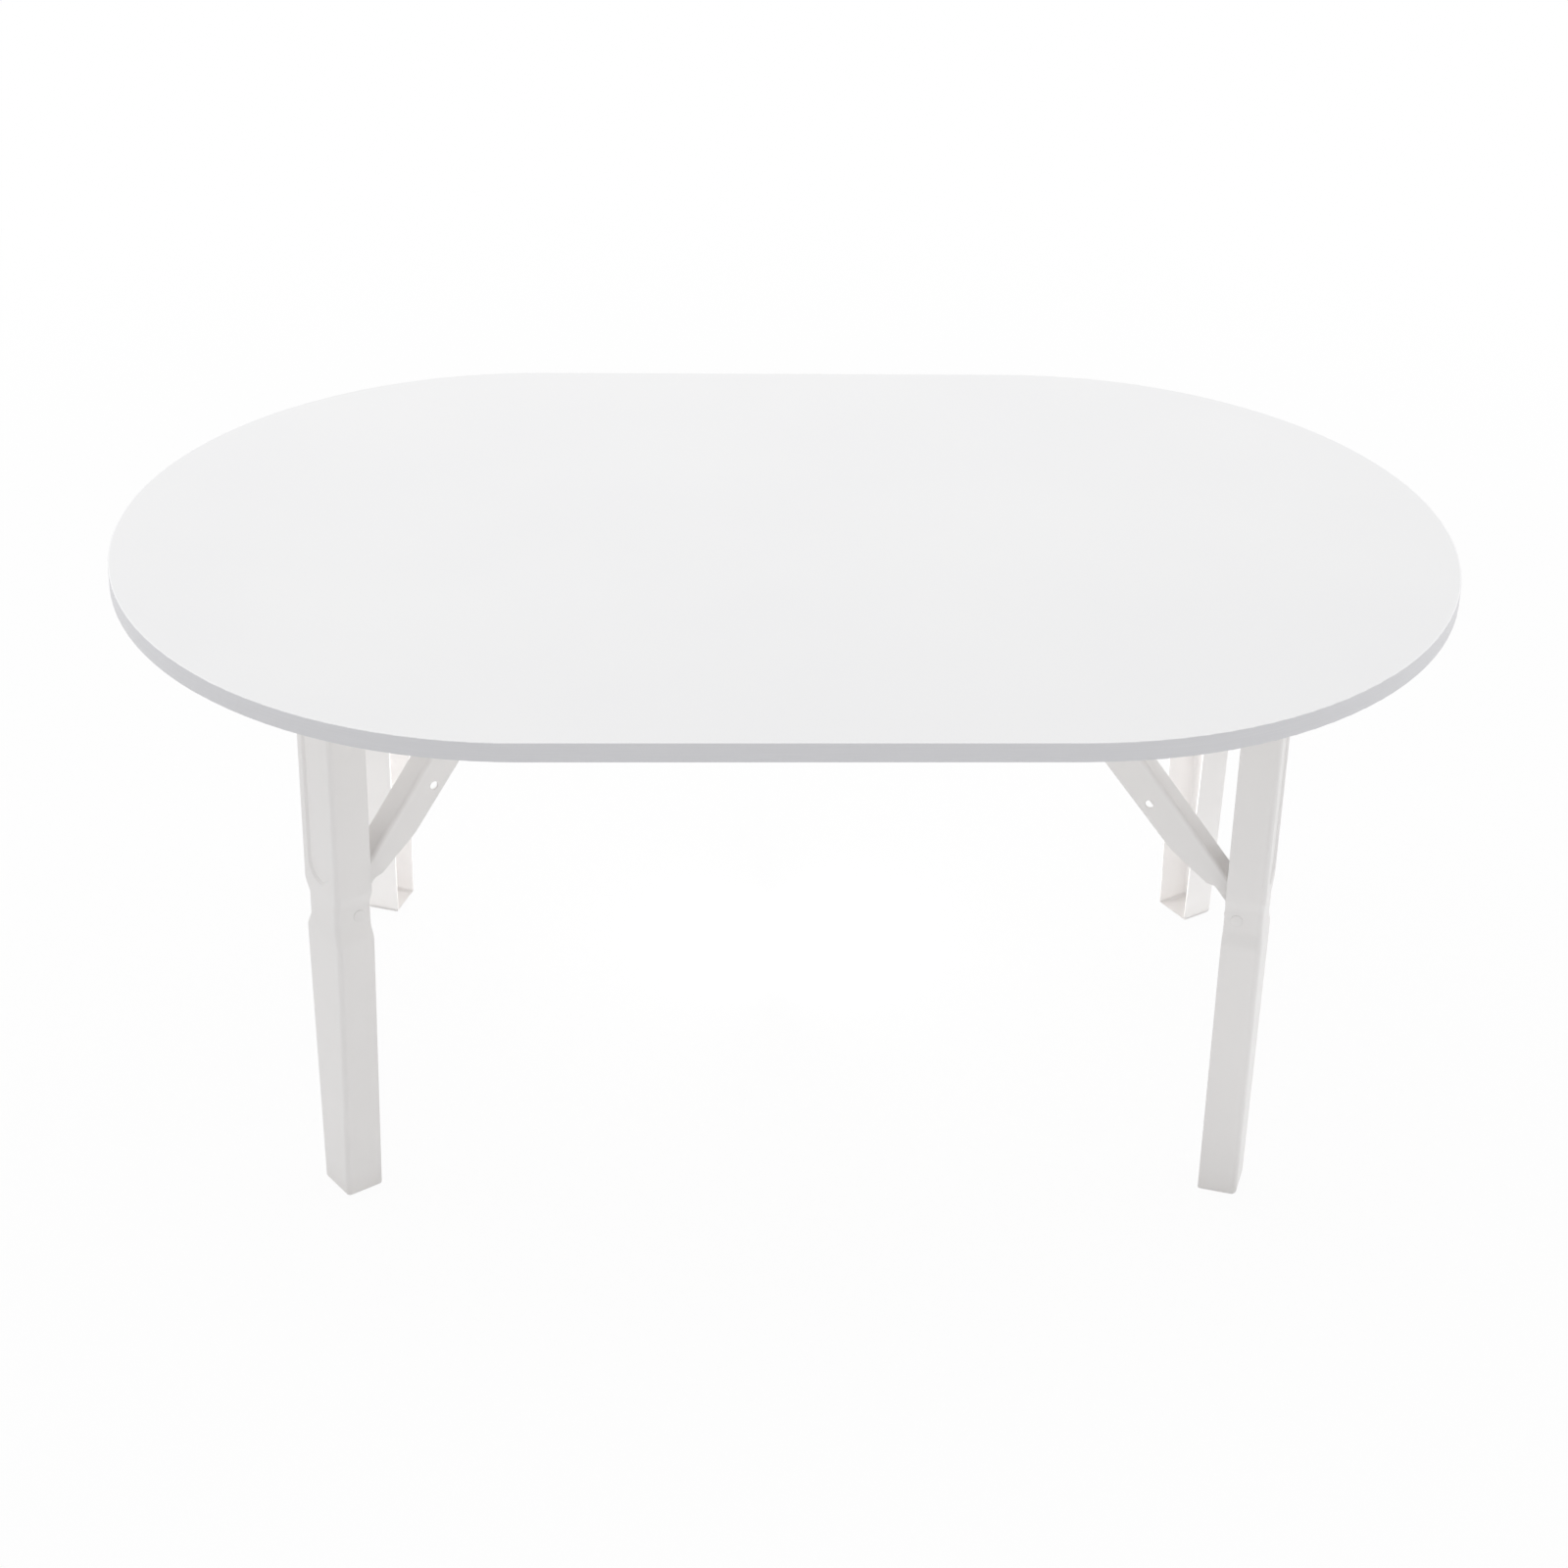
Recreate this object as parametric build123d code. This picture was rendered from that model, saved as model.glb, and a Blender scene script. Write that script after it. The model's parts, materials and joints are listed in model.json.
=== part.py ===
from build123d import *
from math import atan2, cos, degrees, hypot, radians, sin
import os

# Folding coffee table: an oval board on four pressed channel legs that fold up under it.
# Each leg turns on a bracket and is held open by a brace that hooks into the same bracket.
# Millimetres. X runs along the table, Y across it, Z up; the origin is on the floor under the middle.

# Top
table_length = 1000.0
table_width = 620.0
table_height = 440.0
board_thickness = 15.0
band_thickness = 1.0
band_round = 0.6

# How far each hinge is from the table's nearer end and nearer side, and the way its leg folds
front_left_from_end = 178.4
front_left_from_side = 112.0
front_left_angle = 35.0
front_right_from_end = 174.2
front_right_from_side = 105.0
front_right_angle = 162.0
back_left_from_end = 181.0
back_left_from_side = 115.0
back_left_angle = -19.0
back_right_from_end = 147.0
back_right_from_side = 131.0
back_right_angle = 211.0

# Leg, a channel pressed from one sheet, with its back to the outside
leg_wall = 1.5
leg_depth = 29.0
leg_top_width = 47.0
leg_foot_width = 34.5
leg_bend = 4.0
leg_top_gap = 1.0
hinge_drop = 14.0
hinge_to_edge = 9.0
brace_rivet_height = 244.0
waist_width = 38.5
waist_flat = 6.5
waist_reach = 22.0
waist_dip = 1.0
panel_width = 29.0
panel_press = 1.5
panel_end_height = 268.5
panel_slope = 50.0

# Brace, a tapering channel with its back upwards
brace_wall = 1.5
brace_bend = 3.0
brace_proud = 1.2
hook_reach = 133.0
brace_low_width = 23.0
brace_hook_width = 20.5
brace_hook_depth = 26.7
brace_hook_corner = 4.0
kink_place = 69.0
kink_depth = 23.2
kink_round = 25.0
step_place = 34.0
step_depth = 15.7
neck_place = 28.5
neck_depth = 11.7
neck_round = 3.0
drain_place = 107.0
drain_depth = 16.0
drain_diameter = 6.5

# Pivots
pivot_diameter = 8.0
pivot_head_diameter = 13.0
pivot_head_height = 2.2
waist_head_diameter = 9.0
waist_head_height = 0.9
hook_pin_diameter = 6.0
hook_pin_overhang = 2.0
hook_pin_chamfer = 0.5
head_edge_share = 0.33
pin_gap = 0.05
side_gap = 0.3

# Bracket, an inverted channel screwed under the board
bracket_wall = 2.0
bracket_bend = 3.0
bracket_heel = 12.0
bracket_ear = 12.0
bracket_shallow_depth = 17.0
bracket_shallow_start = 30.0
shallow_end_to_hook = 31.0
narrow_start_to_hook = 75.0
narrow_end_to_hook = 37.0
bracket_curve = 30.0
hook_heel = 14.0
hook_tip = 13.0
hook_depth = 12.0
hook_corner = 3.0
hook_slope = 17.0
hook_gap = 0.3
tongue_reach = 24.0
brace_side_gap = 0.8

# Spring that keeps the brace pin in its hook
spring_sheet = 0.8
spring_width = 12.0
spring_heel = 29.0
spring_drop_start = 3.0
spring_nose_reach = 15.0
spring_nose_drop = 6.0
spring_tip_reach = 21.0
spring_tip_drop = 3.0
spring_bend = 2.5

# Wood screws
screw_diameter = 4.0
screw_length = 13.0
screw_point = 3.0
screw_head_diameter = 8.0
screw_head_height = 2.4
screw_pair_spread = 12.0
screw_first_place = 16.0
screw_second_place = 50.0
last_screw_to_hook = 21.0
pilot_depth = 12.0

# Longer than any part, for cuts that run right through
overrun = 600.0

# Where each leg hinges, and which way it folds, in degrees from the table's length
half_length = table_length / 2
half_width = table_width / 2
leg_places = {
    "front_left": (front_left_from_end - half_length, front_left_from_side - half_width, front_left_angle),
    "front_right": (half_length - front_right_from_end, front_right_from_side - half_width, front_right_angle),
    "back_left": (back_left_from_end - half_length, half_width - back_left_from_side, back_left_angle),
    "back_right": (half_length - back_right_from_end, half_width - back_right_from_side, back_right_angle),
}

# Heights and lengths that follow from the sizes above, seen from the hinge centre of a leg
underside = table_height - board_thickness
hinge_height = underside - hinge_drop
foot_level = -hinge_height
leg_top_level = hinge_drop - leg_top_gap
leg_back = hinge_to_edge - leg_depth
waist_level = brace_rivet_height - hinge_height
brace_back = hinge_to_edge + brace_proud
shoulder_level = waist_level - waist_reach
brace_length = hypot(waist_level, hook_reach)
brace_turn = degrees(atan2(-waist_level, hook_reach))
bracket_half = leg_top_width / 2 - leg_wall - side_gap
hook_half = brace_hook_width / 2 + brace_side_gap + bracket_wall
base_level = hinge_drop - bracket_wall
inside_leg = waist_width / 2 - leg_wall
last_screw_place = hook_reach - last_screw_to_hook
washer_thickness = inside_leg - brace_low_width / 2 - side_gap - side_gap


# A flat outline in the fold plane, X inwards and Z up, made into a slab of the given half width
def fold_slab(points, radii, half_width):
    outline = make_face(FilletPolyline(points, radius=radii, close=True))
    return extrude(Plane.XZ * outline, amount=half_width, both=True)


# A round bar across the fold plane
def cross_bar(diameter, length, x=0.0, z=0.0):
    return Pos(x, 0, z) * Rot(90, 0, 0) * Cylinder(diameter / 2, length)


# The board, with a pilot hole for each wood screw
def make_board():
    board = extrude(
        SlotOverall(table_length - band_thickness * 2, table_width - band_thickness * 2),
        amount=board_thickness,
    )
    board = Pos(0, 0, underside) * board
    for place in leg_places.values():
        for x, y in screw_places():
            pilot = Cylinder(
                screw_diameter / 2 + pin_gap, pilot_depth, align=(Align.CENTER, Align.CENTER, Align.MIN)
            )
            board -= set_leg(Pos(x, y, hinge_drop) * pilot, place)
    return board


# The strip round the board's edge, with its two arrises eased
def make_edge_band():
    outer = extrude(SlotOverall(table_length, table_width), amount=board_thickness)
    levels = outer.faces().sort_by(Axis.Z)
    outer = fillet(levels[0].edges() + levels[-1].edges(), band_round)
    inner_size = (table_length - band_thickness * 2, table_width - band_thickness * 2)
    inner = extrude(SlotOverall(*inner_size), amount=board_thickness)
    return Pos(0, 0, underside) * (outer - inner)


# Half of the channel's width at a level below the waist, where it narrows to the foot
def lower_half_width(level, inset):
    share = (level - foot_level) / (shoulder_level - foot_level)
    half = (leg_foot_width + (leg_top_width - leg_foot_width) * share) / 2
    return half - inset


# A line down the channel: straight, drawn in round the rivet, then straight to the foot
def waist_line(full, pinched, top, foot):
    knee = (full, waist_level + waist_reach)
    upper_flat = (pinched, waist_level + waist_flat)
    lower_flat = (pinched, waist_level - waist_flat)
    shoulder = (full, shoulder_level)
    run = (foot[0] - full, foot[1] - shoulder_level)
    return [
        Line((full, top), knee),
        Spline(knee, upper_flat, tangents=[(0, -1), (0, -1)]),
        Line(upper_flat, lower_flat),
        Spline(lower_flat, shoulder, tangents=[(0, -1), run]),
        Line(shoulder, foot),
    ]


# The channel seen from outside the table, pinched at the waist and tapering to the foot
def leg_front(inset, bottom, top):
    full = leg_top_width / 2 - inset
    foot = (lower_half_width(bottom, inset), bottom)
    side = waist_line(full, waist_width / 2 - inset, top, foot)
    other_side = [edge.mirror(Plane.YZ) for edge in side]
    ends = [Line((full, top), (-full, top)), Line(foot, (-foot[0], bottom))]
    return make_face(side + other_side + ends)


# The channel seen from the side, with its back dipping in at the waist
def leg_side(back, open_reach, bottom, top):
    line = waist_line(back, back + waist_dip, top, (back, bottom))
    rest = Polyline([(back, bottom), (open_reach, bottom), (open_reach, top), (back, top)])
    return make_face(line + [rest])


# A block with those two outlines, its back edges and foot edges rounded as a press rounds them
def leg_block(inset, top, open_reach):
    back = leg_back + inset
    bottom = foot_level + inset
    front = Plane.YZ.offset(back) * leg_front(inset, bottom, top)
    block = extrude(front, amount=open_reach - back)
    block &= extrude(Plane.XZ * leg_side(back, open_reach, bottom, top), amount=leg_top_width, both=True)
    near_back = [edge for edge in block.edges() if edge.center().X < back + waist_dip + leg_wall]
    down_sides = [edge for edge in near_back if abs(edge.center().Y) > leg_wall]
    foot_face = block.faces().sort_by(Axis.Z)[0]
    at_foot = [edge for edge in foot_face.edges() if edge.center().X < open_reach - leg_wall]
    return fillet(down_sides + at_foot, leg_bend - inset)


# The shallow panel pressed into the leg's back, as a sloping-sided block that starts on a given plane
def leg_panel(start):
    end_centre = panel_end_height - hinge_height + panel_width / 2
    top = leg_top_level + leg_depth
    flat = Pos(0, (end_centre + top) / 2) * Rectangle(panel_width, top - end_centre)
    flat += Pos(0, end_centre) * Circle(panel_width / 2)
    return extrude(Plane.YZ.offset(start) * flat, amount=panel_press, taper=panel_slope)


# A leg, with the panel pressed into its back and holes for the hinge pin and the rivet
def make_leg():
    above = leg_top_level + leg_depth
    channel = leg_block(0.0, above, hinge_to_edge)
    channel -= leg_block(leg_wall, above + leg_wall, hinge_to_edge + leg_wall)
    channel += leg_panel(leg_back + leg_wall)
    channel -= leg_panel(leg_back)
    # The corner that passes the board when the leg turns is an arc round the hinge
    turning = Pos(leg_back, 0, 0) * Box(
        -leg_back, overrun, overrun, align=(Align.MIN, Align.CENTER, Align.MAX)
    )
    turning += Pos(leg_back, 0, 0) * Box(
        -leg_back, overrun, leg_top_level, align=(Align.MIN, Align.CENTER, Align.MIN)
    )
    turning += cross_bar(leg_top_level * 2, overrun)
    lower = [(0, 0), (0, foot_level), (hinge_to_edge, foot_level), (hinge_to_edge, 0)]
    turning += fold_slab(lower, [0, 0, leg_bend, 0], overrun / 2)
    channel &= turning
    hole = pivot_diameter + pin_gap * 2
    channel -= cross_bar(hole, overrun)
    channel -= cross_bar(hole, overrun, z=waist_level)
    return channel


# A pivot with a domed head at each end of its grip
def make_pivot(diameter, head_diameter, head_height, grip):
    half = grip / 2
    edge = head_height * head_edge_share
    dome = TangentArc((0, half + head_height), (head_diameter / 2, half + edge), tangent=(1, 0))
    profile = [
        Line((0, 0), (diameter / 2, 0)),
        Line((diameter / 2, 0), (diameter / 2, half)),
        Line((diameter / 2, half), (head_diameter / 2, half)),
        Line((head_diameter / 2, half), (head_diameter / 2, half + edge)),
        dome,
        Line((0, half + head_height), (0, 0)),
    ]
    end = revolve(make_face(profile), Axis.Y)
    return end + mirror(end, Plane.XZ)


# Two plastic washers that fill the flat of the waist, one each side of the brace
def make_washers():
    ring = Cylinder(waist_flat, washer_thickness) - Cylinder(pivot_diameter / 2 + pin_gap, overrun)
    ring = Rot(90, 0, 0) * ring
    offset = inside_leg - side_gap - washer_thickness / 2
    return Compound(children=[Pos(0, side * offset, waist_level) * ring for side in (-1, 1)])


# The brace lies along X with its rivet at the origin. Folded, its back stands just proud of the leg's edge
def brace_outline():
    end = brace_length + brace_back
    points = [
        (0, brace_back),
        (end, brace_back),
        (end, brace_back - brace_hook_depth),
        (kink_place, brace_back - kink_depth),
        (step_place, brace_back - step_depth),
        (neck_place, brace_back - neck_depth),
        (0, brace_back - neck_depth),
    ]
    radii = [0, brace_back, brace_hook_corner, kink_round, neck_round, neck_round, 0]
    outline = fold_slab(points, radii, overrun / 2)
    return outline + cross_bar(brace_back * 2, overrun)


# The tapering channel before its sides are cut to shape
def brace_block(inset):
    start = -brace_back - inset
    end = brace_length + brace_back + inset
    slope = (brace_low_width - brace_hook_width) / 2 / brace_length
    near = brace_low_width / 2 - slope * start - inset
    far = brace_low_width / 2 - slope * end - inset
    plan = make_face(Polyline([(start, -near), (end, -far), (end, far), (start, near)], close=True))
    depth = brace_hook_depth + inset
    block = Pos(0, 0, brace_back - inset) * extrude(plan, amount=-depth - inset)
    back_face = block.faces().sort_by(Axis.Z)[-1]
    long_edges = back_face.edges().sort_by(SortBy.LENGTH)[-2:]
    return fillet(long_edges, brace_bend - inset)


# A brace, cut to shape and drilled for its rivet, its hook pin and a drain
def make_brace():
    brace = brace_block(0.0) - brace_block(brace_wall)
    brace &= brace_outline()
    brace -= cross_bar(pivot_diameter + pin_gap * 2, overrun)
    brace -= cross_bar(hook_pin_diameter + pin_gap * 2, overrun, x=brace_length)
    brace -= cross_bar(drain_diameter, overrun, x=drain_place, z=brace_back - drain_depth)
    return set_brace(brace)


# The pin through the brace's far end, long enough to lie in both sides of the hook
def make_hook_pin():
    length = (hook_half + hook_pin_overhang) * 2
    pin = cross_bar(hook_pin_diameter, length, x=brace_length)
    pin = chamfer(pin.edges().filter_by(GeomType.CIRCLE), hook_pin_chamfer)
    return set_brace(pin)


# The bracket seen from above: wide at the hinge, narrow where it takes the brace
def bracket_plan(inset, reach):
    wide = bracket_half - inset
    narrow = hook_half - inset
    start = -bracket_heel - reach
    end = hook_reach + tongue_reach + reach
    narrow_start = hook_reach - narrow_start_to_hook
    narrow_end = hook_reach - narrow_end_to_hook
    half = [(start, wide), (narrow_start, wide), (narrow_end, narrow), (end, narrow)]
    other_half = [(x, -y) for x, y in reversed(half)]
    radii = [0, bracket_curve, bracket_curve, 0]
    return make_face(FilletPolyline(half + other_half, radius=radii + radii, close=True))


# That outline as a block under the board, with its upper edges rounded by the bends
def bracket_block(inset, reach):
    depth = hinge_drop + bracket_ear + reach
    plan = Pos(0, 0, hinge_drop - inset) * bracket_plan(inset, reach)
    block = extrude(plan, amount=-depth)
    top_face = block.faces().sort_by(Axis.Z)[-1]
    rims = [edge for edge in top_face.edges() if abs(edge.center().Y) > bracket_wall]
    return fillet(rims, bracket_bend - inset)


# The bracket's sides: an ear round the hinge, a shallow middle and a deeper plate for the hook
def bracket_sides():
    shallow = hinge_drop - bracket_shallow_depth
    shallow_end = hook_reach - shallow_end_to_hook
    plate_start = hook_reach - hook_heel
    plate_end = hook_reach + hook_tip
    tongue_end = hook_reach + tongue_reach
    points = [
        (-bracket_heel, hinge_drop),
        (-bracket_heel, -bracket_ear),
        (bracket_ear, -bracket_ear),
        (bracket_shallow_start, shallow),
        (shallow_end, shallow),
        (plate_start, -hook_depth),
        (plate_end, -hook_depth),
        (plate_end, base_level),
        (tongue_end, base_level),
        (tongue_end, hinge_drop),
    ]
    ear_round = bracket_ear - pin_gap
    radii = [0, ear_round, hook_corner, ear_round, ear_round, hook_corner, hook_corner, 0, 0, 0]
    return fold_slab(points, radii, overrun / 2)


# The hook's slot holds the pin at its outer end and opens inwards and down, the way the pin comes out
def hook_slot():
    radius = hook_pin_diameter / 2 + hook_gap
    reach = hook_tip * 2
    run = (cos(radians(hook_slope)), -sin(radians(hook_slope)))
    low_start = (hook_reach + radius * run[1], -radius * run[0])
    low_end = (low_start[0] + reach * run[0], low_start[1] + reach * run[1])
    high_start = (hook_reach, radius)
    high_end = (low_end[0], radius)
    mouth = fold_slab([low_start, low_end, high_end, high_start], [0, 0, 0, 0], overrun / 2)
    centre = fold_slab([(hook_reach, 0), low_start, high_start], [0, 0, 0], overrun / 2)
    return mouth + centre + cross_bar(radius * 2, overrun, x=hook_reach)


# Where the wood screws go, measured from the hinge
def screw_places():
    pairs = [screw_first_place, screw_second_place]
    places = [(x, side * screw_pair_spread) for x in pairs for side in (-1, 1)]
    return places + [(last_screw_place, 0.0)]


# A bracket, its sides cut to shape, with the slot for the hook and its holes
def make_bracket():
    bracket = bracket_block(0.0, 0.0) - bracket_block(bracket_wall, bracket_wall)
    bracket &= bracket_sides()
    bracket -= hook_slot()
    bracket -= cross_bar(pivot_diameter + pin_gap * 2, overrun)
    for x, y in screw_places():
        bracket -= Pos(x, y, 0) * Cylinder(screw_diameter / 2 + pin_gap, overrun)
    return bracket


# A strip of spring sheet under the bracket's base, bent down to a nose behind the brace's end
def make_spring():
    top = base_level - spring_sheet / 2
    start = hook_reach - spring_heel
    points = [
        (start, top),
        (hook_reach - spring_drop_start, top),
        (hook_reach + spring_nose_reach, top - spring_nose_drop),
        (hook_reach + spring_tip_reach, top - spring_tip_drop),
    ]
    line = FilletPolyline(points, radius=spring_bend)
    strip = extrude(Plane.XZ * trace(line, spring_sheet), amount=spring_width / 2, both=True)
    return strip - Pos(last_screw_place, 0, top) * Cylinder(screw_diameter / 2 + pin_gap, overrun)


# One wood screw, its head down and the underside of the head at the origin
def make_screw():
    radius = screw_diameter / 2
    head = screw_head_diameter / 2
    profile = [
        Line((0, -screw_head_height), (0, screw_length)),
        Line((0, screw_length), (radius, screw_length - screw_point)),
        Line((radius, screw_length - screw_point), (radius, 0)),
        Line((radius, 0), (head, 0)),
        Spline((head, 0), (0, -screw_head_height), tangents=[(0, -1), (-1, 0)]),
    ]
    return revolve(Plane.XZ * make_face(profile), Axis.Z)


# All the wood screws, with the inmost one of each bracket over the spring
def make_screws():
    screw = make_screw()
    screws = []
    for place in leg_places.values():
        for x, y in screw_places():
            seat = base_level - spring_sheet if x == last_screw_place else base_level
            screws.append(set_leg(Pos(x, y, seat) * screw, place))
    return Compound(children=screws)


# Tilts a brace up from its rivet to its hook
def set_brace(shape):
    return Pos(0, 0, waist_level) * Rot(0, -brace_turn, 0) * shape


# Puts a piece modelled round its leg's hinge at that leg's place on the table
def set_leg(shape, place):
    x, y, turn = place
    return Pos(x, y, hinge_height) * Rot(0, 0, turn) * shape


os.makedirs("parts", exist_ok=True)

# The hinge pin's heads stand just clear of the leg, and the rivet is closed tight on the waist
hinge_grip = leg_top_width + side_gap * 2
leg_pieces = {
    "leg_bracket": make_bracket(),
    "hinge_pin": make_pivot(pivot_diameter, pivot_head_diameter, pivot_head_height, hinge_grip),
    "hook_spring": make_spring(),
    "leg": make_leg(),
    "brace_rivet": Pos(0, 0, waist_level)
    * make_pivot(pivot_diameter, waist_head_diameter, waist_head_height, waist_width),
    "brace_washers": make_washers(),
    "brace": make_brace(),
    "hook_pin": make_hook_pin(),
}

pieces = {
    "table_top_board": make_board(),
    "edge_band": make_edge_band(),
    "bracket_screws": make_screws(),
}
for corner, place in leg_places.items():
    for name, shape in leg_pieces.items():
        pieces[name + "_" + corner] = set_leg(shape, place)

for name, shape in pieces.items():
    export_step(shape, "parts/" + name + ".step")
    print(name, len(shape.solids()), round(shape.volume))
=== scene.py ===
# Folding coffee table: finishes, screws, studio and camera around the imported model
import bpy
import bmesh
import json
import math
from mathutils import Matrix, Vector


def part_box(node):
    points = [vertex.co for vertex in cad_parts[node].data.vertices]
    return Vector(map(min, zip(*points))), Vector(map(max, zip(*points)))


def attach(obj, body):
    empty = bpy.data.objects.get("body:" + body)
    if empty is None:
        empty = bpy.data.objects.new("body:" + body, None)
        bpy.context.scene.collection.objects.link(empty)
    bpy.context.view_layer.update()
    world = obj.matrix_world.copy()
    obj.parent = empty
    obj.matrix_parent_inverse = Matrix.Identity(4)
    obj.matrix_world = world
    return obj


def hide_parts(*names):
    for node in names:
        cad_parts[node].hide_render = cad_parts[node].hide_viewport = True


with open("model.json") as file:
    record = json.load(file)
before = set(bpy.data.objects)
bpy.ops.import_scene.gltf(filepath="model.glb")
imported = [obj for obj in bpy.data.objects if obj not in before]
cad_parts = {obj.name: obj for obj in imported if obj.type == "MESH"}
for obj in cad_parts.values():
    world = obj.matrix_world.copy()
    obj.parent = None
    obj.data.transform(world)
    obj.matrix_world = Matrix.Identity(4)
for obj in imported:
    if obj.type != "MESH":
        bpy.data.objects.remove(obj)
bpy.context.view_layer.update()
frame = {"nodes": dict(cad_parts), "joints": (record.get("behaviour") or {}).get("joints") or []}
nodes = frame["nodes"]
jointOf = {joint["child"]: joint for joint in frame["joints"]}
corners = ["front_left", "front_right", "back_left", "back_right"]
print("loaded", len(nodes), "nodes")


def foldTurn(corner):
    # the way a leg folds, as an angle seen from above
    axis = jointOf["leg_" + corner]["axis"]
    return math.atan2(axis[0], -axis[1])


def linear(hexColour):
    # sRGB hex to the linear colour that a shader takes
    values = [int(hexColour[i:i + 2], 16) / 255 for i in (1, 3, 5)]
    return [v / 12.92 if v <= 0.04045 else ((v + 0.055) / 1.055) ** 2.4 for v in values] + [1.0]


def perMetre(millimetres):
    # texture scale that gives a pattern of this real size
    return 1000.0 / millimetres


def addNode(tree, kind, inputs=None, **settings):
    # an input takes a socket, a node (its first output), a hex colour or a plain value
    node = tree.nodes.new("ShaderNode" + kind)
    for name, value in settings.items():
        setattr(node, name, value)
    for name, value in (inputs or {}).items():
        if isinstance(value, bpy.types.Node):
            value = value.outputs[0]
        if isinstance(value, bpy.types.NodeSocket):
            tree.links.new(value, node.inputs[name])
        else:
            node.inputs[name].default_value = linear(value) if isinstance(value, str) else value
    return node


def newMaterial(name):
    material = bpy.data.materials.new(name)
    material.use_nodes = True
    material.node_tree.nodes.clear()
    return material, material.node_tree


def dress(names, material):
    for name in names:
        slots = nodes[name].data.materials
        slots.clear()
        slots.append(material)


def toMesh(bm, name):
    mesh = bpy.data.meshes.new(name)
    bm.to_mesh(mesh)
    bm.free()
    return mesh


def addObject(name, data):
    thing = bpy.data.objects.new(name, data)
    bpy.context.scene.collection.objects.link(thing)
    return thing


# Top: chipboard faced with white melamine resin, pressed against a finely etched steel plate.
# To the eye it is an even, near neutral white with a low sheen and a grain just too fine to see.
melamine = {
    "colour": "#EDEDEE",
    "paleColour": "#F1F1F1",
    "backingColour": "#EEEDEB",   # plainer backing sheet under the board
    "speckColour": "#B9B7B4",
    "roughness": (0.39, 0.46),    # smoothest and dullest patches
    "grain": 1.2,                 # mm, drawn coarser than the real 0.3
    "grainHeight": 0.004,         # mm
    "cloud": 170.0,               # mm, slow change of tone across the sheet
    "speckSpacing": 90.0,         # mm
    "speckSize": 0.5,             # mm
    "speckShare": 0.4,            # of the places that hold a speck
}


def makeMelamine(look):
    material, tree = newMaterial("melamineFacedBoard")
    place = addNode(tree, "TexCoord").outputs["Object"]
    cloud = addNode(tree, "TexNoise", {"Vector": place, "Scale": perMetre(look["cloud"]), "Detail": 2.0})
    tone = addNode(tree, "MixRGB", {"Fac": cloud, "Color1": look["colour"], "Color2": look["paleColour"]})
    # a few specks in the resin paper, at random places in a wide grid
    cell = addNode(tree, "TexVoronoi", {"Vector": place, "Scale": perMetre(look["speckSpacing"])})
    radius = look["speckSize"] / 2 / look["speckSpacing"]
    near = addNode(tree, "Math", {0: cell.outputs["Distance"], 1: radius}, operation="LESS_THAN")
    chance = addNode(tree, "SeparateColor", {"Color": cell.outputs["Color"]})
    chosen = addNode(tree, "Math", {0: chance, 1: 1 - look["speckShare"]}, operation="GREATER_THAN")
    speck = addNode(tree, "Math", {0: near, 1: chosen}, operation="MULTIPLY")
    face = addNode(tree, "MixRGB", {"Fac": speck, "Color1": tone, "Color2": look["speckColour"]})
    # the lower half of the board's height takes the backing sheet's tone
    low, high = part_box("table_top_board")
    height = addNode(tree, "SeparateXYZ", {"Vector": place}).outputs["Z"]
    under = addNode(tree, "Math", {0: height, 1: (low.z + high.z) / 2}, operation="LESS_THAN")
    colour = addNode(tree, "MixRGB", {"Fac": under, "Color1": face, "Color2": look["backingColour"]})
    grain = addNode(tree, "TexNoise", {
        "Vector": place, "Scale": perMetre(look["grain"]), "Detail": 3.0, "Roughness": 0.6,
    })
    bump = addNode(tree, "Bump", {"Height": grain, "Distance": look["grainHeight"] / 1000})
    smooth, dull = look["roughness"]
    sheen = addNode(tree, "MapRange", {"Value": cloud, "To Min": smooth, "To Max": dull})
    skin = addNode(tree, "BsdfPrincipled", {
        "Base Color": colour, "Roughness": sheen, "Normal": bump, "IOR": 1.53,
    })
    addNode(tree, "OutputMaterial", {"Surface": skin})
    return material


# Edge band: extruded PVC strip, glued round the board, then trimmed and scraped.
# To the eye it is a little greyer and cooler than the facing, with faint lines that run along it.
edgeBand = {
    "colour": "#E7E7EA",
    "lineColour": "#E0E0E3",
    "paintedHighlightColour": "#F8F8F9",     # painted highlight: whiter where the band faces up, at its trimmed top arris and on its top face
    "paintedHighlightRise": (0.15, 0.6),     # how far the surface faces up, where the painted highlight starts and is full
    "jointColour": "#A9A8A6",
    "jointPlace": 0.12,           # m along the back, where the strip's ends meet
    "jointGap": 0.35,             # mm
    "roughness": (0.32, 0.41),    # between the lines and on them
    "line": 0.9,                  # mm between the scraper's lines
    "lineHeight": 0.006,          # mm
    "squeeze": 0.02,              # of the noise along the strip, which draws it out into lines
}


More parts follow.
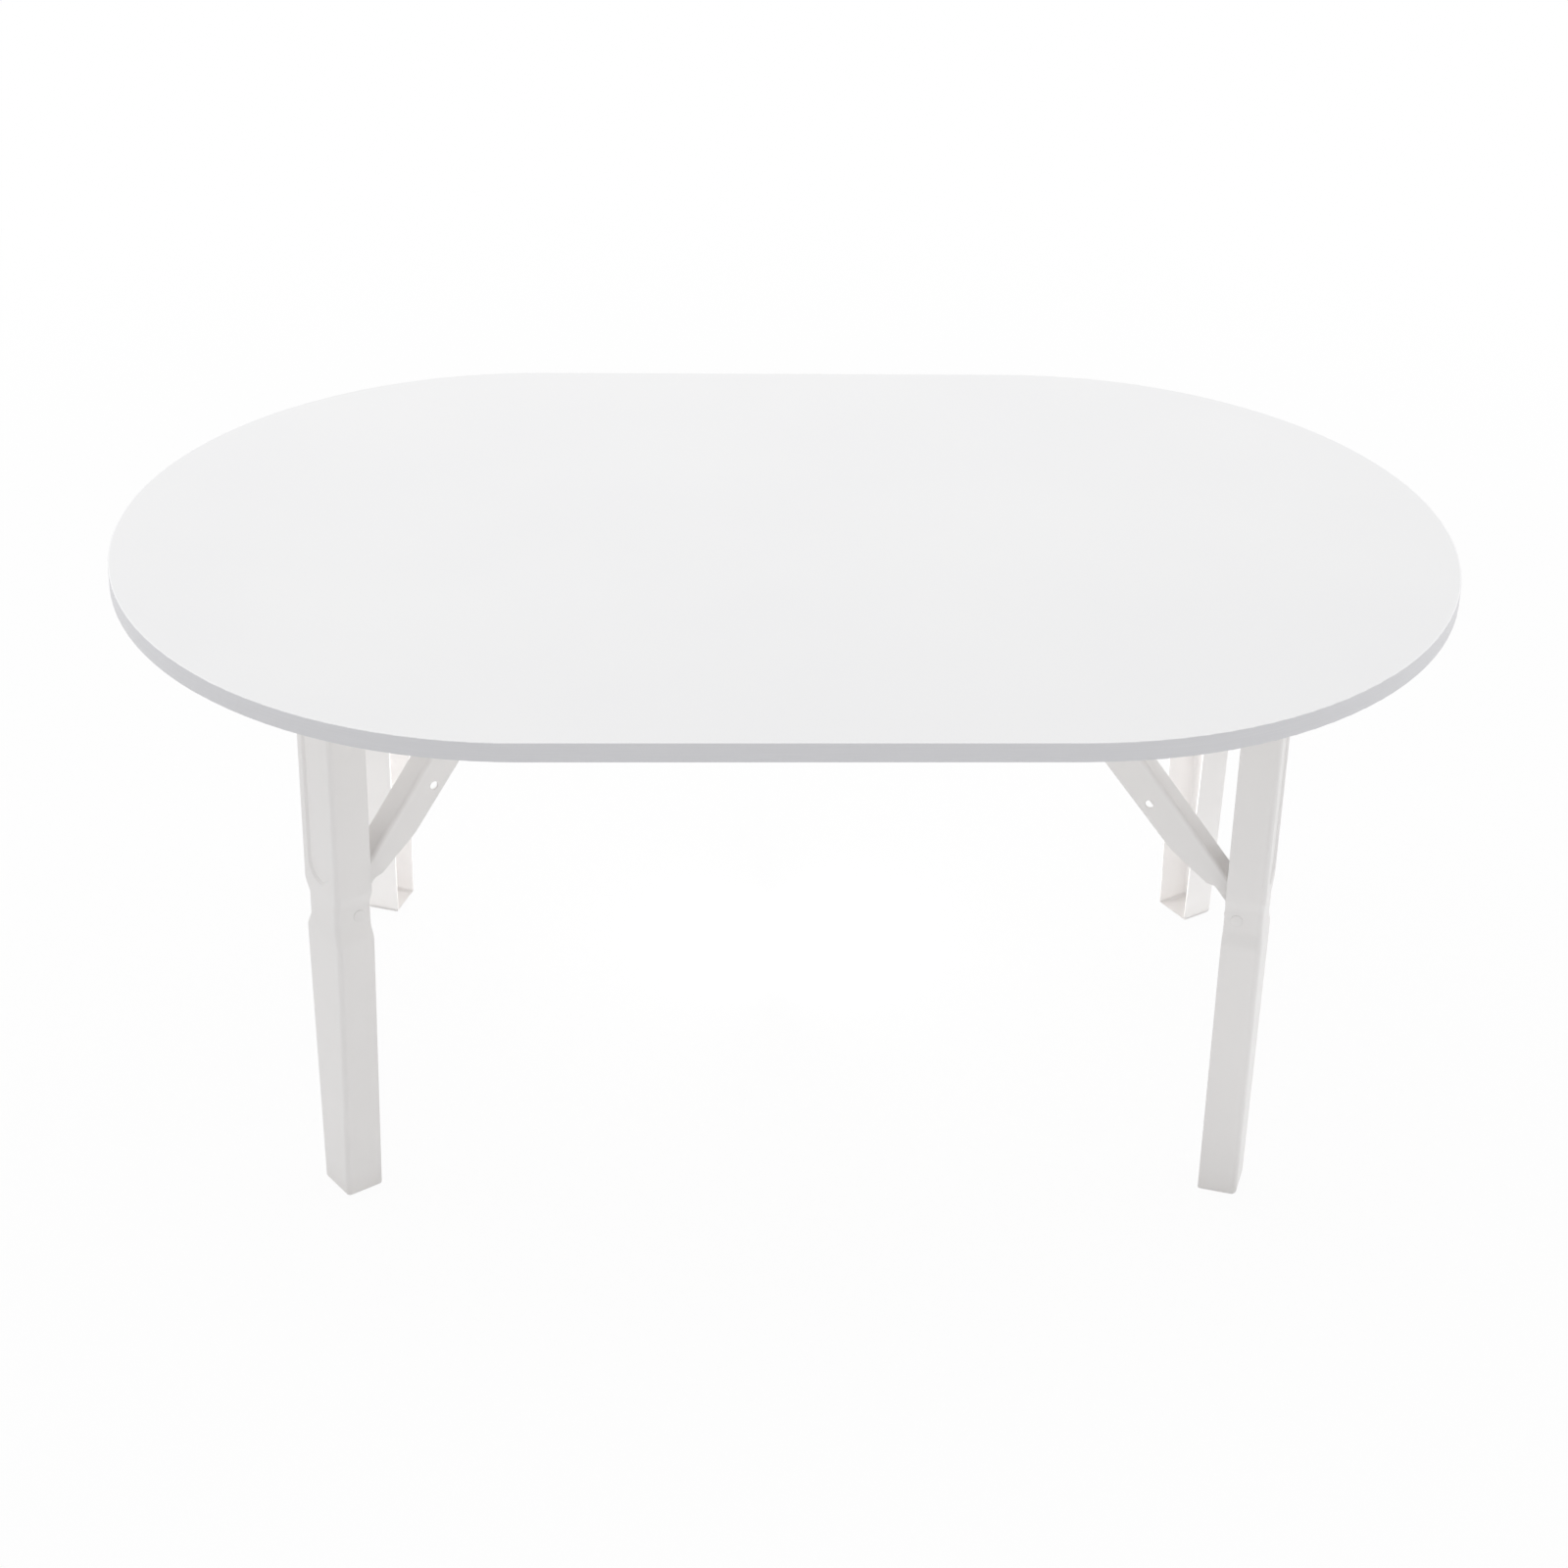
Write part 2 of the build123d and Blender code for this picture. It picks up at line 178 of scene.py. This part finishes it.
def makeEdgeBand(look):
    material, tree = newMaterial("extrudedPvcBand")
    place = addNode(tree, "TexCoord").outputs["Object"]
    squeeze = look["squeeze"]
    drawn = addNode(tree, "Mapping", {"Vector": place, "Scale": (squeeze, squeeze, 1.0)})
    lines = addNode(tree, "TexNoise", {"Vector": drawn, "Scale": perMetre(look["line"]), "Detail": 2.0})
    tone = addNode(tree, "MixRGB", {"Fac": lines, "Color1": look["colour"], "Color2": look["lineColour"]})
    # a hairline where the strip's ends meet, on the back only
    axes = addNode(tree, "SeparateXYZ", {"Vector": place})
    along = addNode(tree, "Math", {0: axes.outputs["X"], 1: look["jointPlace"]}, operation="SUBTRACT")
    away = addNode(tree, "Math", {0: along}, operation="ABSOLUTE")
    close = addNode(tree, "Math", {0: away, 1: look["jointGap"] / 2000}, operation="LESS_THAN")
    back = addNode(tree, "Math", {0: axes.outputs["Y"], 1: 0.0}, operation="GREATER_THAN")
    joint = addNode(tree, "Math", {0: close, 1: back}, operation="MULTIPLY")
    joined = addNode(tree, "MixRGB", {"Fac": joint, "Color1": tone, "Color2": look["jointColour"]})
    # painted highlight: the band is mixed towards white wherever it faces up, on its top arris and top face
    facing = addNode(tree, "SeparateXYZ", {"Vector": addNode(tree, "NewGeometry").outputs["Normal"]})
    start, full = look["paintedHighlightRise"]
    paintedHighlight = addNode(tree, "MapRange", {"Value": facing.outputs["Z"], "From Min": start, "From Max": full})
    colour = addNode(tree, "MixRGB", {"Fac": paintedHighlight, "Color1": joined, "Color2": look["paintedHighlightColour"]})
    bump = addNode(tree, "Bump", {"Height": lines, "Distance": look["lineHeight"] / 1000})
    smooth, dull = look["roughness"]
    sheen = addNode(tree, "MapRange", {"Value": lines, "To Min": smooth, "To Max": dull})
    skin = addNode(tree, "BsdfPrincipled", {
        "Base Color": colour, "Roughness": sheen, "Normal": bump, "IOR": 1.53,
    })
    addNode(tree, "OutputMaterial", {"Surface": skin})
    return material


# Legs, braces, brackets and rivets: polyester powder coat, sprayed on pressed steel and baked.
# To the eye it is a warm white with a satin gloss, a soft orange peel and slightly rounded cut edges.
powderCoat = {
    "colour": "#F7F5F4",
    "thinColour": "#F3F1F0",
    "thinEdgeAndShadeColour": "#E0DDDC",      # greyer where the coat draws back from a cut edge, and darker still there as painted shade
    "dustColour": "#E8E3DF",      # what gathers at the foot
    "roughness": (0.26, 0.36),    # in thick and thin coat
    "peel": 1.8,                  # mm from crest to crest
    "peelHeight": 0.010,          # mm
    "cloud": 55.0,                # mm, thicker and thinner passes of the gun
    "edgeRound": 0.45,            # mm
    "edgeMatch": (0.96, 0.7),     # how well rounded and flat normals agree, from plain coat to a bare edge with painted shade
    "dustHeight": 22.0,           # mm above the floor
    "dustPatch": 9.0,             # mm
    "dustMost": 0.5,              # share of the dust's colour at the floor
}


def makePowderCoat(look):
    material, tree = newMaterial("powderCoatedSteel")
    place = addNode(tree, "TexCoord").outputs["Object"]
    cloud = addNode(tree, "TexNoise", {"Vector": place, "Scale": perMetre(look["cloud"]), "Detail": 3.0})
    coat = addNode(tree, "MixRGB", {"Fac": cloud, "Color1": look["colour"], "Color2": look["thinColour"]})
    # the rounded normal leaves the flat one only near an edge
    soft = addNode(tree, "Bevel", {"Radius": look["edgeRound"] / 1000}, samples=6)
    flat = addNode(tree, "NewGeometry").outputs["Normal"]
    match = addNode(tree, "VectorMath", {0: soft, 1: flat}, operation="DOT_PRODUCT").outputs["Value"]
    plain, bare = look["edgeMatch"]
    edge = addNode(tree, "MapRange", {"Value": match, "From Min": plain, "From Max": bare})
    # near a cut edge the coat turns greyer: partly thinner coat, partly painted shade
    edgedAndShaded = addNode(tree, "MixRGB", {"Fac": edge, "Color1": coat, "Color2": look["thinEdgeAndShadeColour"]})
    height = addNode(tree, "SeparateXYZ", {"Vector": place}).outputs["Z"]
    low = addNode(tree, "MapRange", {
        "Value": height, "From Min": look["dustHeight"] / 1000, "From Max": 0.0, "To Max": look["dustMost"],
    })
    patch = addNode(tree, "TexNoise", {"Vector": place, "Scale": perMetre(look["dustPatch"]), "Detail": 4.0})
    dust = addNode(tree, "Math", {0: low, 1: patch}, operation="MULTIPLY")
    colour = addNode(tree, "MixRGB", {"Fac": dust, "Color1": edgedAndShaded, "Color2": look["dustColour"]})
    peel = addNode(tree, "TexNoise", {
        "Vector": place, "Scale": perMetre(look["peel"]), "Detail": 1.5, "Roughness": 0.4,
    })
    bump = addNode(tree, "Bump", {"Height": peel, "Distance": look["peelHeight"] / 1000, "Normal": soft})
    smooth, dull = look["roughness"]
    gloss = addNode(tree, "MapRange", {"Value": cloud, "To Min": smooth, "To Max": dull})
    skin = addNode(tree, "BsdfPrincipled", {
        "Base Color": colour, "Roughness": gloss, "Normal": bump, "IOR": 1.5,
    })
    addNode(tree, "OutputMaterial", {"Surface": skin})
    return material


# Pins and screws: zinc plated and blue passivated steel, from a barrel.
# To the eye it is a bright, slightly clouded grey with a cool cast and soft reflections.
zincPlate = {
    "colour": "#C9CDD1",
    "cloudColour": "#B4B8BC",
    "roughness": (0.26, 0.44),    # bright and clouded
    "cloud": 2.2,                 # mm
    "turning": 0.25,              # mm between the marks that the die leaves
    "turningDepth": 0.004,        # mm
}


def makeZincPlate(look):
    material, tree = newMaterial("zincPlatedSteel")
    place = addNode(tree, "TexCoord").outputs["Object"]
    cloud = addNode(tree, "TexNoise", {"Vector": place, "Scale": perMetre(look["cloud"]), "Detail": 3.0})
    colour = addNode(tree, "MixRGB", {
        "Fac": cloud, "Color1": look["colour"], "Color2": look["cloudColour"],
    })
    marks = addNode(tree, "TexNoise", {"Vector": place, "Scale": perMetre(look["turning"]), "Detail": 2.0})
    bump = addNode(tree, "Bump", {"Height": marks, "Distance": look["turningDepth"] / 1000})
    smooth, dull = look["roughness"]
    gloss = addNode(tree, "MapRange", {"Value": cloud, "To Min": smooth, "To Max": dull})
    skin = addNode(tree, "BsdfPrincipled", {
        "Base Color": colour, "Roughness": gloss, "Normal": bump, "Metallic": 1.0,
    })
    addNode(tree, "OutputMaterial", {"Surface": skin})
    return material


# Hook springs: cold rolled spring steel strip, hardened and lightly oiled.
# To the eye it is a dark grey metal with fine rolling lines along the strip.
springStrip = {
    "colour": "#8D9094",
    "lineColour": "#777A7E",
    "roughness": (0.30, 0.50),    # between the lines and on them
    "line": 0.35,                 # mm
    "squeeze": 0.03,              # of the noise along the strip, which draws it out into lines
}


def makeSpringStrip(look, turn, name):
    material, tree = newMaterial(name)
    place = addNode(tree, "TexCoord").outputs["Object"]
    # turned to the strip's own direction first
    along = addNode(tree, "Mapping", {"Vector": place, "Rotation": (0.0, 0.0, -turn)})
    squeeze = look["squeeze"]
    drawn = addNode(tree, "Mapping", {"Vector": along, "Scale": (squeeze, 1.0, squeeze)})
    lines = addNode(tree, "TexNoise", {"Vector": drawn, "Scale": perMetre(look["line"]), "Detail": 3.0})
    colour = addNode(tree, "MixRGB", {"Fac": lines, "Color1": look["colour"], "Color2": look["lineColour"]})
    smooth, dull = look["roughness"]
    gloss = addNode(tree, "MapRange", {"Value": lines, "To Min": smooth, "To Max": dull})
    skin = addNode(tree, "BsdfPrincipled", {"Base Color": colour, "Roughness": gloss, "Metallic": 1.0})
    addNode(tree, "OutputMaterial", {"Surface": skin})
    return material


# Washers: moulded natural nylon. To the eye it is milky and soft, with the mould's fine grain.
nylon = {
    "colour": "#EAE7DC",
    "cloudColour": "#E2DED0",
    "roughness": 0.45,
    "grain": 0.6,                 # mm
    "grainHeight": 0.01,          # mm
    "milkiness": 0.15,            # share of the light that goes in and comes out again
    "milkDepth": 2.0,             # mm
}


def makeNylon(look):
    material, tree = newMaterial("naturalNylon")
    place = addNode(tree, "TexCoord").outputs["Object"]
    grain = addNode(tree, "TexNoise", {"Vector": place, "Scale": perMetre(look["grain"]), "Detail": 2.0})
    colour = addNode(tree, "MixRGB", {
        "Fac": grain, "Color1": look["colour"], "Color2": look["cloudColour"],
    })
    bump = addNode(tree, "Bump", {"Height": grain, "Distance": look["grainHeight"] / 1000})
    skin = addNode(tree, "BsdfPrincipled", {
        "Base Color": colour, "Roughness": look["roughness"], "Normal": bump, "IOR": 1.53,
        "Subsurface Weight": look["milkiness"], "Subsurface Scale": look["milkDepth"] / 1000,
    })
    addNode(tree, "OutputMaterial", {"Surface": skin})
    return material


coatMaterial = makePowderCoat(powderCoat)
zincMaterial = makeZincPlate(zincPlate)
nylonMaterial = makeNylon(nylon)
dress(["table_top_board"], makeMelamine(melamine))
dress(["edge_band"], makeEdgeBand(edgeBand))
for corner in corners:
    stripMaterial = makeSpringStrip(springStrip, foldTurn(corner), "rolledSpringSteel_" + corner)
    dress([piece + "_" + corner for piece in ("leg", "brace", "leg_bracket", "brace_rivet")], coatMaterial)
    dress([piece + "_" + corner for piece in ("hinge_pin", "hook_pin")], zincMaterial)
    dress(["hook_spring_" + corner], stripMaterial)
    dress(["brace_washers_" + corner], nylonMaterial)
print("finishes on")


# Wood screws that hold the brackets: pan heads with a cross recess, and a rolled thread
woodScrew = {
    "head": 8.0,                  # mm across, and all lengths below are mm too
    "headHeight": 2.4,
    "headSquareness": 2.6,        # 2 is a round dome, more is flatter with a steeper rim
    "headSteps": 8,               # rings from the crown to the rim
    "core": 2.8,
    "thread": 4.0,
    "threadRoot": 0.375,          # share of the pitch that stays at the core
    "pitch": 1.8,
    "length": 13.0,
    "ringStep": 0.3,              # between the rings of the shank
    "runIn": 1.2,                 # in which the thread rises below the head
    "point": 3.0,
    "pointSteps": 8,
    "tip": 0.03,                  # share of the core's width left at the tip
    "around": 32,                 # points round the screw
    "recess": 4.4,
    "recessFoot": 1.8,
    "recessDepth": 1.5,
    "recessBlade": 1.0,
    "recessTaper": 0.7,           # the blade's thickness at its foot, as a share
    "overcut": 0.5,               # how far the cutter stands out of the head
    # where the solids have their screws: inwards from the hinge, and across
    "places": [(16.0, -12.0), (16.0, 12.0), (50.0, -12.0), (50.0, 12.0), (112.0, 0.0)],
    "seat": 12.0,                 # above the hinge, under the bracket's base
    "springSheet": 0.8,           # the inmost screw also holds the spring
    "spin": 2.4,                  # radians from one screw to the next, as none is driven home alike
    "sharpAngle": 35.0,           # degrees
}


def screwRings(screw):
    # height and radius of each ring from the head's crown to the point, and how much thread it has
    rings = []
    for i in range(1, screw["headSteps"] + 1):
        share = i / screw["headSteps"]
        square = screw["headSquareness"]
        drop = (1 - share ** square) ** (1 / square)
        rings.append((-screw["headHeight"] * drop, screw["head"] / 2 * share, 0.0))
    core = screw["core"] / 2
    rings.append((0.0, core, 0.0))
    for i in range(1, round((screw["length"] - screw["point"]) / screw["ringStep"]) + 1):
        z = i * screw["ringStep"]
        rings.append((z, core, min(1.0, z / screw["runIn"])))
    for i in range(1, screw["pointSteps"] + 1):
        share = i / screw["pointSteps"]
        z = screw["length"] - screw["point"] * (1 - share)
        rings.append((z, core * (1 - share * (1 - screw["tip"])), 1 - share))
    return rings


def screwBody(screw):
    bm = bmesh.new()
    crown = bm.verts.new((0, 0, -screw["headHeight"]))
    depth = (screw["thread"] - screw["core"]) / 2
    root = screw["threadRoot"]
    loops = []
    for z, radius, amount in screwRings(screw):
        loop = []
        for i in range(screw["around"]):
            share = i / screw["around"]
            rise = abs(((z / screw["pitch"] - share) % 1.0) * 2 - 1)
            reach = radius + amount * depth * max(0.0, (rise - root) / (1 - root))
            angle = share * math.tau
            loop.append(bm.verts.new((reach * math.cos(angle), reach * math.sin(angle), z)))
        loops.append(loop)
    tip = bm.verts.new((0, 0, screw["length"]))
    for i in range(screw["around"]):
        j = (i + 1) % screw["around"]
        bm.faces.new((crown, loops[0][j], loops[0][i]))
        for inner, outer in zip(loops, loops[1:]):
            bm.faces.new((inner[i], inner[j], outer[j], outer[i]))
        bm.faces.new((loops[-1][i], loops[-1][j], tip))
    bmesh.ops.recalc_face_normals(bm, faces=bm.faces)
    return toMesh(bm, "screwBody")


def recessBlade(screw, turn):
    # one arm of the cross, narrower at its foot, standing out below the head
    mouth = -screw["headHeight"] - screw["overcut"]
    foot = -screw["headHeight"] + screw["recessDepth"]
    half = screw["recessBlade"] / 2
    ends = ((mouth, screw["recess"] / 2, half), (foot, screw["recessFoot"] / 2, half * screw["recessTaper"]))
    bm = bmesh.new()
    ring = []
    for z, reach, thick in ends:
        signs = ((-1, -1), (1, -1), (1, 1), (-1, 1))
        ring.append([bm.verts.new((x * reach, y * thick, z)) for x, y in signs])
    bm.faces.new(ring[0])
    bm.faces.new(ring[1])
    for i in range(4):
        bm.faces.new((ring[0][i], ring[0][(i + 1) % 4], ring[1][(i + 1) % 4], ring[1][i]))
    bmesh.ops.rotate(bm, verts=bm.verts, cent=(0, 0, 0), matrix=Matrix.Rotation(turn, 3, "Z"))
    bmesh.ops.recalc_face_normals(bm, faces=bm.faces)
    return addObject("recessBlade", toMesh(bm, "recessBlade"))


def makeScrewMesh(screw):
    body = addObject("screwBody", screwBody(screw))
    blades = [recessBlade(screw, turn) for turn in (0.0, math.pi / 2)]
    for blade in blades:
        cut = body.modifiers.new("recess", "BOOLEAN")
        cut.object = blade
        cut.solver = "EXACT"
    graph = bpy.context.evaluated_depsgraph_get()
    mesh = bpy.data.meshes.new_from_object(body.evaluated_get(graph))
    for tool in blades + [body]:
        bpy.data.objects.remove(tool)
    return mesh


def makeScrews(screw):
    pattern = makeScrewMesh(screw)
    inmost = screw["places"][-1]
    toMetres = Matrix.Scale(0.001, 4)
    bm = bmesh.new()
    count = 0
    for corner in corners:
        centre = Matrix.Translation(Vector(jointOf["leg_" + corner]["pos_m"]))
        hinge = centre @ Matrix.Rotation(foldTurn(corner), 4, "Z")
        for place in screw["places"]:
            seat = screw["seat"] - (screw["springSheet"] if place == inmost else 0.0)
            home = Matrix.Translation(Vector((*place, seat)) / 1000)
            copy = pattern.copy()
            copy.transform(hinge @ home @ toMetres @ Matrix.Rotation(count * screw["spin"], 4, "Z"))
            bm.from_mesh(copy)
            bpy.data.meshes.remove(copy)
            count += 1
    bpy.data.meshes.remove(pattern)
    mesh = toMesh(bm, "bracketScrews")
    mesh.set_sharp_from_angle(angle=math.radians(screw["sharpAngle"]))
    mesh.materials.clear()
    mesh.materials.append(zincMaterial)
    screws = addObject("bracketScrews", mesh)
    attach(screws, "table_top")
    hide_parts("bracket_screws")
    return count


print("screws driven:", makeScrews(woodScrew))


# Studio: a plain pale floor, a pale room and big soft lamps
studio = {
    "floorSize": 12.0,            # m
    "floorColour": "#F2F2F2",
    "toothColour": "#EFEFEF",
    "floorTooth": 3.0,            # mm, the paper's grain
    "shadowShare": 0.06,          # how much of the floor's own shade the camera keeps near the table
    "shadowReach": (0.9, 2.0),    # m from the middle, where that share fades out
    "room": "#F5F5F5",
    "roomStrength": 0.72,
    # places and sizes in m, power in watts
    "lamps": {
        "overhead": {
            "at": (-0.2, 0.6, 2.7), "aim": (0.0, 0.0, 0.4), "size": (2.6, 2.0), "power": 24.0,
        },
        "leftSide": {
            "at": (-2.6, 0.0, 0.8), "aim": (0.0, 0.0, 0.3), "size": (1.6, 1.4), "power": 3.6,
        },
        "rightSide": {
            "at": (2.6, 0.0, 0.8), "aim": (0.0, 0.0, 0.3), "size": (1.6, 1.4), "power": 5.6,
        },
        # small light panels on the floor, for the underside
        "floorPanel": {
            "at": (0.0, 0.12, 0.004), "aim": (0.0, 0.12, 1.0), "size": (0.44, 0.12), "power": 1.0,
        },
        "underTable": {
            "at": (0.0, 0.05, 0.004), "aim": (0.0, 0.05, 1.0), "size": (1.0, 0.32), "power": 0.36,
        },
        "floorFront": {
            "at": (0.28, -0.48, 0.004), "aim": (0.28, -0.48, 1.0), "size": (0.3, 0.25), "power": 0.1,
        },
        # and two upright ones between the back legs, for the insides of the legs
        "towardsLeft": {
            "at": (0.0, 0.13, 0.11), "aim": (-1.0, 0.13, 0.08), "size": (0.14, 0.2), "power": 0.22,
        },
        "towardsRight": {
            "at": (0.0, 0.13, 0.11), "aim": (1.0, 0.13, 0.08), "size": (0.14, 0.2), "power": 0.28,
        },
    },
}


def seenFactor(tree):
    # 1 for what the camera, a reflection or a refraction sees
    path = addNode(tree, "LightPath")
    seen = path.outputs["Is Camera Ray"]
    for name in ("Is Glossy Ray", "Is Transmission Ray"):
        seen = addNode(tree, "Math", {0: seen, 1: path.outputs[name]}, operation="MAXIMUM")
    return seen


def makeFloor(look):
    material, tree = newMaterial("palePaperFloor")
    place = addNode(tree, "TexCoord").outputs["Object"]
    tooth = addNode(tree, "TexNoise", {
        "Vector": place, "Scale": perMetre(look["floorTooth"]), "Detail": 2.0,
    })
    colour = addNode(tree, "MixRGB", {
        "Fac": tooth, "Color1": look["floorColour"], "Color2": look["toothColour"],
    })
    paper = addNode(tree, "BsdfDiffuse", {"Color": colour})
    white = addNode(tree, "Emission", {"Color": "#FFFFFF", "Strength": 1.0})
    distance = addNode(tree, "VectorMath", {0: place}, operation="LENGTH").outputs["Value"]
    near, far = look["shadowReach"]
    share = addNode(tree, "MapRange", {
        "Value": distance, "From Min": near, "From Max": far, "To Min": look["shadowShare"], "To Max": 0.0,
    }, interpolation_type="SMOOTHSTEP")
    shown = addNode(tree, "MixShader", {0: share, 1: white, 2: paper})
    mixed = addNode(tree, "MixShader", {0: seenFactor(tree), 1: paper, 2: shown})
    addNode(tree, "OutputMaterial", {"Surface": mixed})
    half = look["floorSize"] / 2
    rim = [(-half, -half, 0), (half, -half, 0), (half, half, 0), (-half, half, 0)]
    mesh = bpy.data.meshes.new("studioFloor")
    mesh.from_pydata(rim, [], [(0, 1, 2, 3)])
    mesh.materials.append(material)
    addObject("studioFloor", mesh)


def makeRoom(look):
    world = bpy.data.worlds.new("paleRoom")
    world.use_nodes = True
    tree = world.node_tree
    tree.nodes.clear()
    light = addNode(tree, "Background", {"Color": look["room"], "Strength": look["roomStrength"]})
    white = addNode(tree, "Background", {"Color": "#FFFFFF", "Strength": 1.0})
    mixed = addNode(tree, "MixShader", {0: seenFactor(tree), 1: light, 2: white})
    addNode(tree, "OutputWorld", {"Surface": mixed})
    bpy.context.scene.world = world


def makeLamp(name, spec):
    lamp = bpy.data.lights.new(name, "AREA")
    lamp.shape = "RECTANGLE"
    lamp.size, lamp.size_y = spec["size"]
    lamp.energy = spec["power"]
    holder = addObject(name, lamp)
    holder.location = spec["at"]
    holder.rotation_euler = (Vector(spec["aim"]) - Vector(spec["at"])).to_track_quat("-Z", "Y").to_euler()
    holder.visible_camera = False
    holder.visible_glossy = False


makeFloor(studio)
makeRoom(studio)
for lampName, lampSpec in studio["lamps"].items():
    makeLamp(lampName, lampSpec)
print("studio lit")


# Camera: above the front of the table, looking down at it, a little turned and tilted as the photo is
cameraSpec = {
    "aim": (-0.0155, -0.3642, 0.440),
    "distance": 2.2159,
    "pitch": 30.07,               # degrees down
    "yaw": -2.69,
    "roll": 1.32,
    "lens": 78.03,                # mm
    "sensor": 36.0,               # mm
}


def makeCamera(spec):
    pitch, yaw, roll = (math.radians(spec[name]) for name in ("pitch", "yaw", "roll"))
    back = Vector((math.sin(yaw) * math.cos(pitch), -math.cos(yaw) * math.cos(pitch), math.sin(pitch)))
    level = back.to_track_quat("Z", "Y").to_matrix().to_4x4()
    stand = Matrix.Translation(Vector(spec["aim"]) + back * spec["distance"])
    lens = bpy.data.cameras.new("camera")
    lens.lens = spec["lens"]
    lens.sensor_width = spec["sensor"]
    camera = addObject("camera", lens)
    camera.matrix_world = stand @ level @ Matrix.Rotation(roll, 4, "Z")
    bpy.context.scene.camera = camera


makeCamera(cameraSpec)
bpy.context.scene.view_settings.view_transform = "Standard"
print("camera set")
